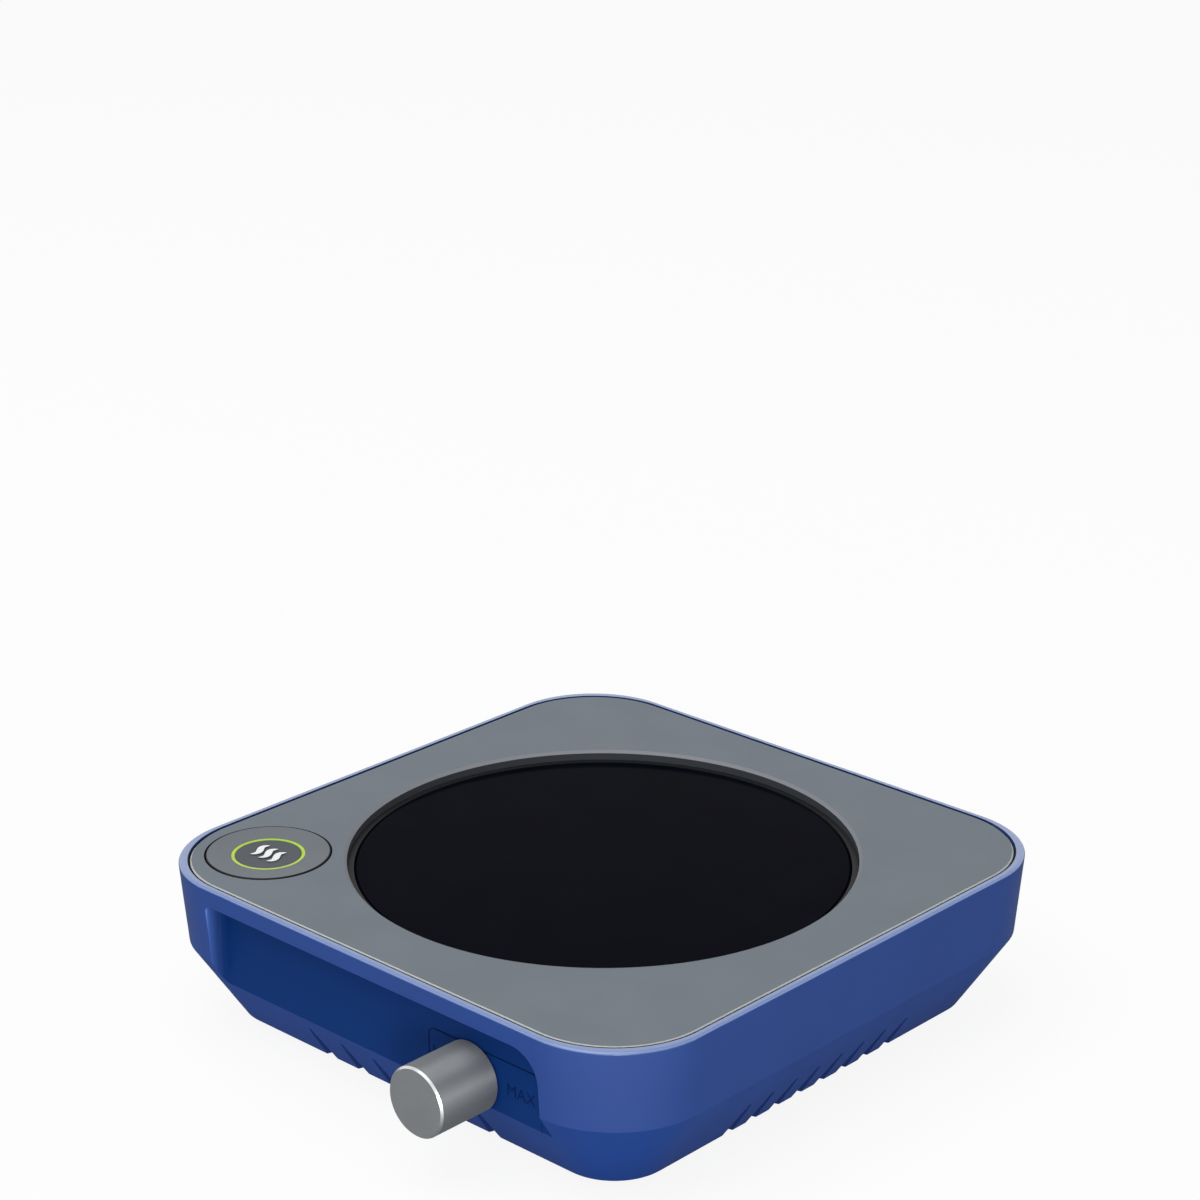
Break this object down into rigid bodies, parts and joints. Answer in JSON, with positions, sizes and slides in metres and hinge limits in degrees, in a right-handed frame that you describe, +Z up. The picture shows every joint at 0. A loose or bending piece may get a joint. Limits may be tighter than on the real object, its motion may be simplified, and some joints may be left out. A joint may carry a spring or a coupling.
{
  "type": "hotplate magnetic stirrer",
  "caption": "Low square laboratory stirrer with a round recessed hot plate, a push button for heat, a front speed knob and a spinning magnet rotor under the plate.",
  "frame": {"origin": "on the bench under the middle of the footprint, speed knob included; the stirring axis is 4.45 mm towards the rear", "axes": "+Z up, -Y out of the front wall with the speed knob, +X to the right seen from the front"},
  "size_m": [0.1158, 0.1247, 0.0308],
  "materials": {
    "case_blue": "fine matt texture",
    "panel_grey": "smooth matt",
    "plate_black": "glossy enamel",
    "seal_black": "matt",
    "foot_black": "matt",
    "cover_dark": "fine matt texture",
    "heater_orange": "matt",
    "mineral_board": "fibrous",
    "sheet_steel": "satin",
    "screw_steel": "satin",
    "bearing_steel": "polished",
    "magnet_nickel": "polished nickel",
    "motor_can": "satin",
    "knob_aluminium": "satin turned",
    "heat_sink_black": "anodised",
    "board_green": "solder mask",
    "black_plastic": "matt",
    "connector_white": "matt",
    "capacitor_sleeve": "glossy sleeve",
    "lamp_clear": "diffuse",
    "ring_green": "lit translucent",
    "button_grey": "smooth matt",
    "button_dark": "smooth matt",
    "sensor_steel": "satin",
    "brass_nut": "plain",
    "lead_red": "matt",
    "lead_black": "matt",
    "lead_white": "matt",
    "lead_grey": "matt"
  },
  "bodies": {
    "case": {"case_shell": "case_blue", "top_panel": "panel_grey", "base_cover": "cover_dark", "hot_plate": "plate_black", "plate_gasket": "seal_black", "heater_foil": "heater_orange", "insulation_disc": "mineral_board", "heat_shield": "sheet_steel", "temperature_sensor": "sensor_steel", "thermal_cutout": "sensor_steel", "motor_body": "motor_can", "upper_bearing": "bearing_steel", "lower_bearing": "bearing_steel", "motor_bracket": "sheet_steel", "main_board": "board_green", "capacitors": "capacitor_sleeve", "heat_sink": "heat_sink_black", "power_transistors": "black_plastic", "board_connectors": "connector_white", "control_chip": "black_plastic", "power_inlet": "black_plastic", "inlet_nut": "screw_steel", "speed_pot": "sheet_steel", "pot_washer": "screw_steel", "pot_nut": "brass_nut", "switch_body": "black_plastic", "button_board": "board_green", "button_lamps": "lamp_clear", "rubber_foot_1": "foot_black", "rubber_foot_2": "foot_black", "rubber_foot_3": "foot_black", "rubber_foot_4": "foot_black", "case_screws": "screw_steel", "shield_screws": "screw_steel", "bracket_screws": "screw_steel", "motor_screws": "screw_steel", "main_board_screws": "screw_steel", "button_board_screws": "screw_steel", "heater_leads": "lead_red", "sensor_lead": "lead_white", "cutout_lead": "lead_white", "motor_lead": "lead_grey", "inlet_leads": "lead_black", "pot_lead": "lead_grey", "button_lead": "lead_grey"},
    "speed_knob": {"speed_knob": "knob_aluminium", "knob_set_screw": "screw_steel", "pot_shaft": "brass_nut"},
    "heat_button": {"button_cap": "button_grey", "button_light_ring": "ring_green", "button_centre": "button_dark", "switch_stem": "black_plastic"},
    "stir_rotor": {"motor_shaft": "bearing_steel", "magnet_holder": "sheet_steel", "drive_magnet_1": "magnet_nickel", "drive_magnet_2": "magnet_nickel"}
  },
  "joints": [
    {"name": "speed_knob_turn", "type": "hinge", "parent": "case", "child": "speed_knob", "pos_m": [0.0215, -0.05555, 0.0159], "axis": [0, 1, 0], "range_deg": [0, 280]},
    {"name": "heat_button_press", "type": "slide", "parent": "case", "child": "heat_button", "axis": [0, 0, -1], "range_m": [0, 0.0006], "stiffness_N_per_m": 1500, "springref_m": -0.0003},
    {"name": "stir_rotor_spin", "type": "hinge", "parent": "case", "child": "stir_rotor", "pos_m": [0, 0.00445, 0.0161], "axis": [0, 0, 1], "continuous": true}
  ]
}
